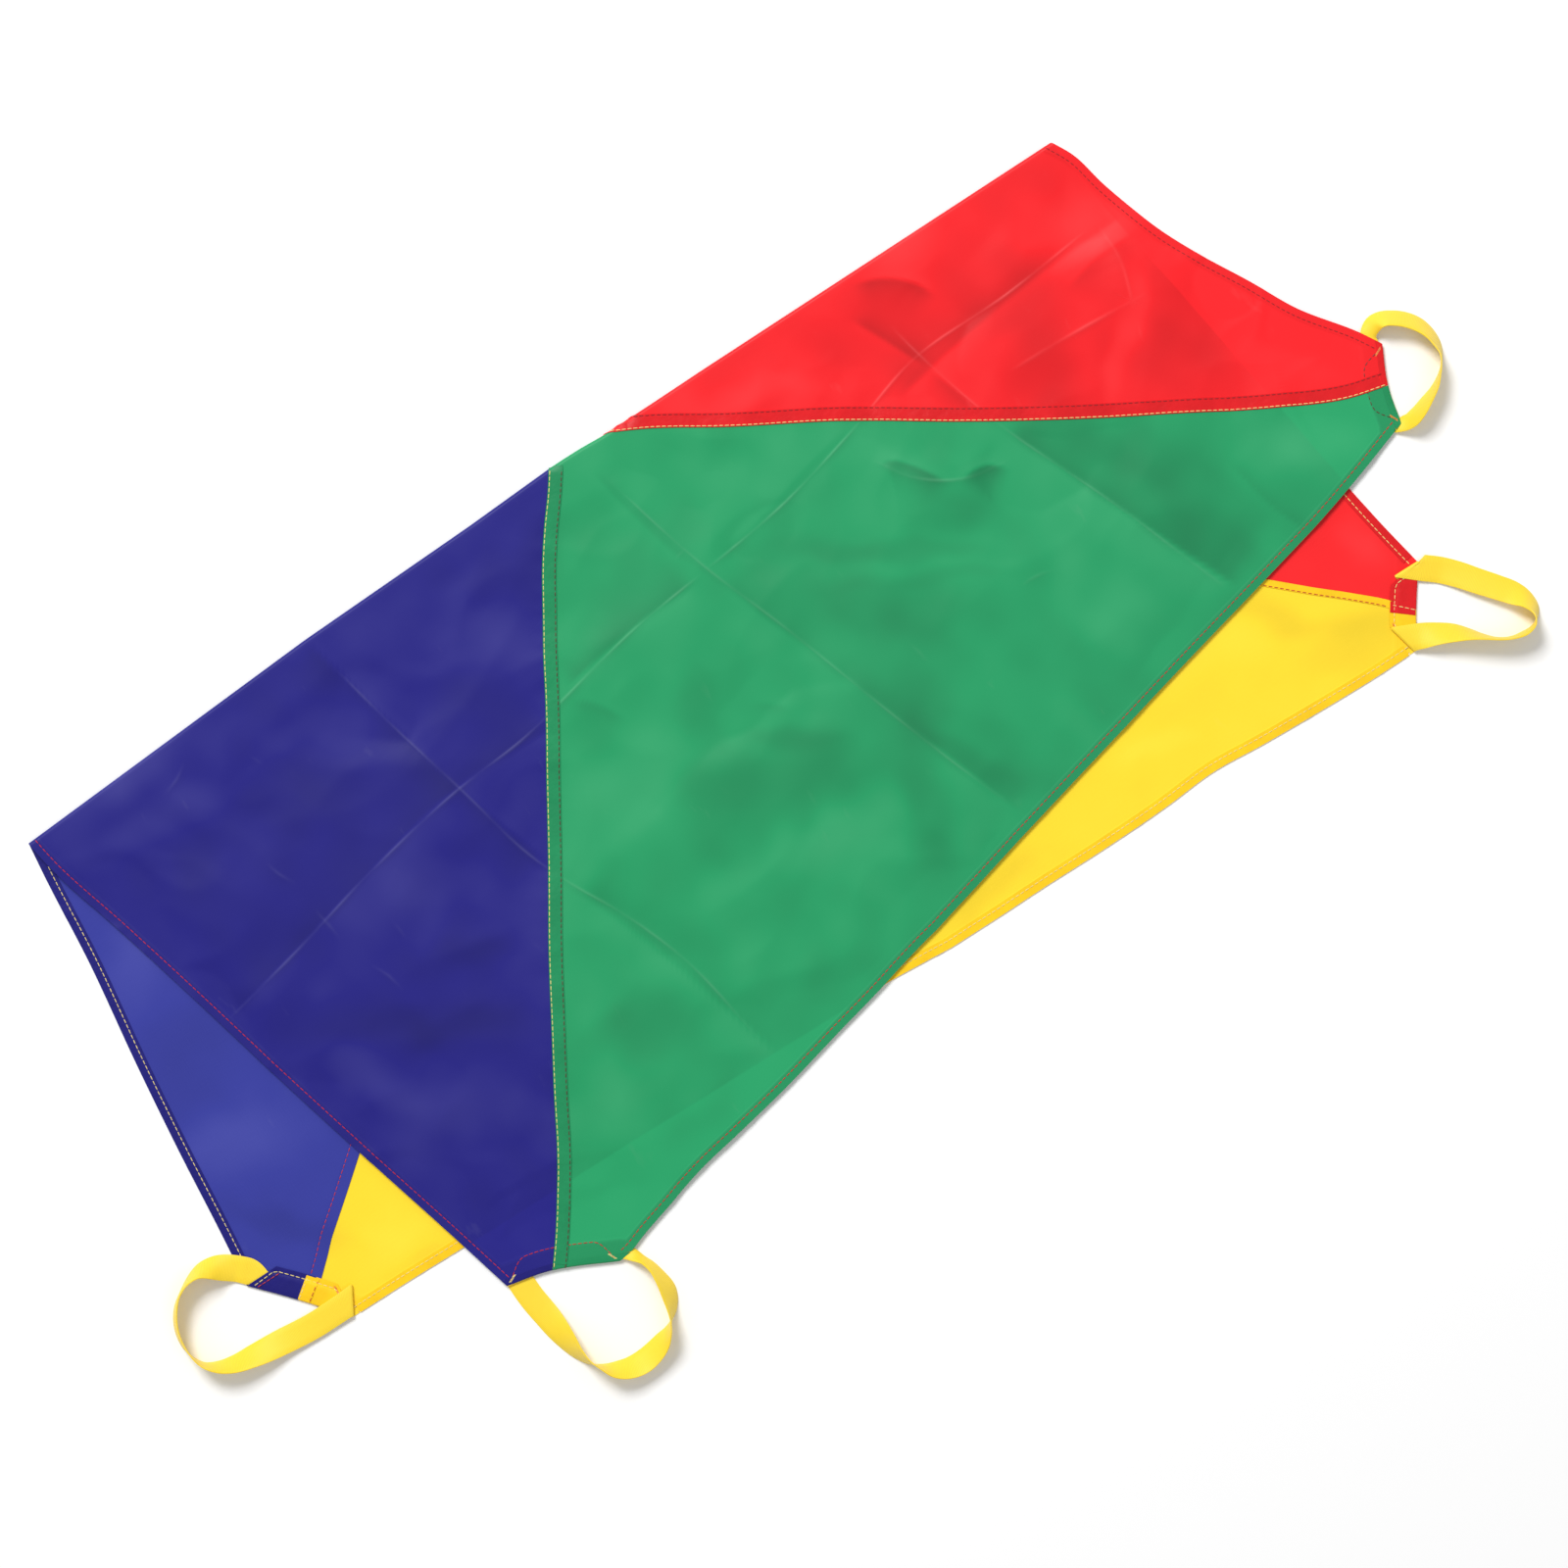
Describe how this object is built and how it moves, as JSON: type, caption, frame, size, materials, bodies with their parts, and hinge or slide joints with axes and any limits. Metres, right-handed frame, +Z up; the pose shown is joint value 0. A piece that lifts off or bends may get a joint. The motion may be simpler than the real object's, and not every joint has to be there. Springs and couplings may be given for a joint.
{
  "type": "play parachute",
  "caption": "Square cloth play parachute of coloured panels with a sewn webbing loop handle at each corner, folded in half and laid flat.",
  "frame": {"origin": "centre of the bounding box on the floor that the folded parachute lies on", "axes": "+Z up, +X along the fold from the blue side to the red side, the open edges towards -Y"},
  "size_m": [1.2142, 0.6044, 0.02],
  "materials": {
    "red_cloth": "smooth coated taffeta, soft sheen",
    "green_cloth": "smooth coated taffeta, soft sheen",
    "blue_cloth": "smooth coated taffeta, soft sheen",
    "yellow_cloth": "smooth coated taffeta, soft sheen",
    "webbing": "ribbed woven tape, matte"
  },
  "bodies": {
    "lower_half": {"yellow_panel": "yellow_cloth", "blue_panel_lower": "blue_cloth", "red_panel_lower": "red_cloth", "green_panel_tip": "green_cloth", "blue_hem_lower": "blue_cloth", "red_hem_lower": "red_cloth", "yellow_hem": "yellow_cloth", "blue_yellow_seam": "blue_cloth", "red_yellow_seam": "yellow_cloth", "blue_casing_lower": "blue_cloth", "yellow_casing_near_blue": "yellow_cloth", "red_casing_lower": "red_cloth", "yellow_casing_near_red": "yellow_cloth", "blue_yellow_webbing_anchor": "webbing", "red_yellow_webbing_anchor": "webbing"},
    "upper_half": {"green_panel": "green_cloth", "blue_panel_upper": "blue_cloth", "red_panel_upper": "red_cloth", "blue_hem_upper": "blue_cloth", "green_hem": "green_cloth", "red_hem_upper": "red_cloth", "blue_green_seam": "green_cloth", "red_green_seam": "red_cloth", "blue_casing_upper": "blue_cloth", "green_casing_near_blue": "green_cloth", "red_casing_upper": "red_cloth", "green_casing_near_red": "green_cloth", "blue_green_webbing_anchor": "webbing", "red_green_webbing_anchor": "webbing"},
    "red_green_loop": {"red_green_handle": "webbing"},
    "blue_green_loop": {"blue_green_handle": "webbing"},
    "red_yellow_loop": {"red_yellow_handle": "webbing"},
    "blue_yellow_loop": {"blue_yellow_handle": "webbing"}
  },
  "joints": [
    {"name": "canopy_unfold", "type": "hinge", "parent": "lower_half", "child": "upper_half", "pos_m": [-0.01939, 0.30255, 0.0045], "axis": [-1, 0, 0], "range_deg": [0, 180]},
    {"name": "red_green_handle_lift", "type": "hinge", "parent": "upper_half", "child": "red_green_loop", "pos_m": [0.55829, -0.00557, 0.0034], "axis": [-0.3508, -0.9364, 0], "range_deg": [0, 120]},
    {"name": "blue_green_handle_lift", "type": "hinge", "parent": "upper_half", "child": "blue_green_loop", "pos_m": [-0.33695, -0.20602, 0.0034], "axis": [-0.928, 0.3726, 0], "range_deg": [0, 120]},
    {"name": "red_yellow_handle_lift", "type": "hinge", "parent": "lower_half", "child": "red_yellow_loop", "pos_m": [0.4789, -0.15524, 0.0034], "axis": [-0.5798, -0.8147, 0], "range_deg": [0, 120]},
    {"name": "blue_yellow_handle_lift", "type": "hinge", "parent": "lower_half", "child": "blue_yellow_loop", "pos_m": [-0.51348, -0.11064, 0.0034], "axis": [-0.6289, 0.7775, 0], "range_deg": [0, 120]}
  ]
}
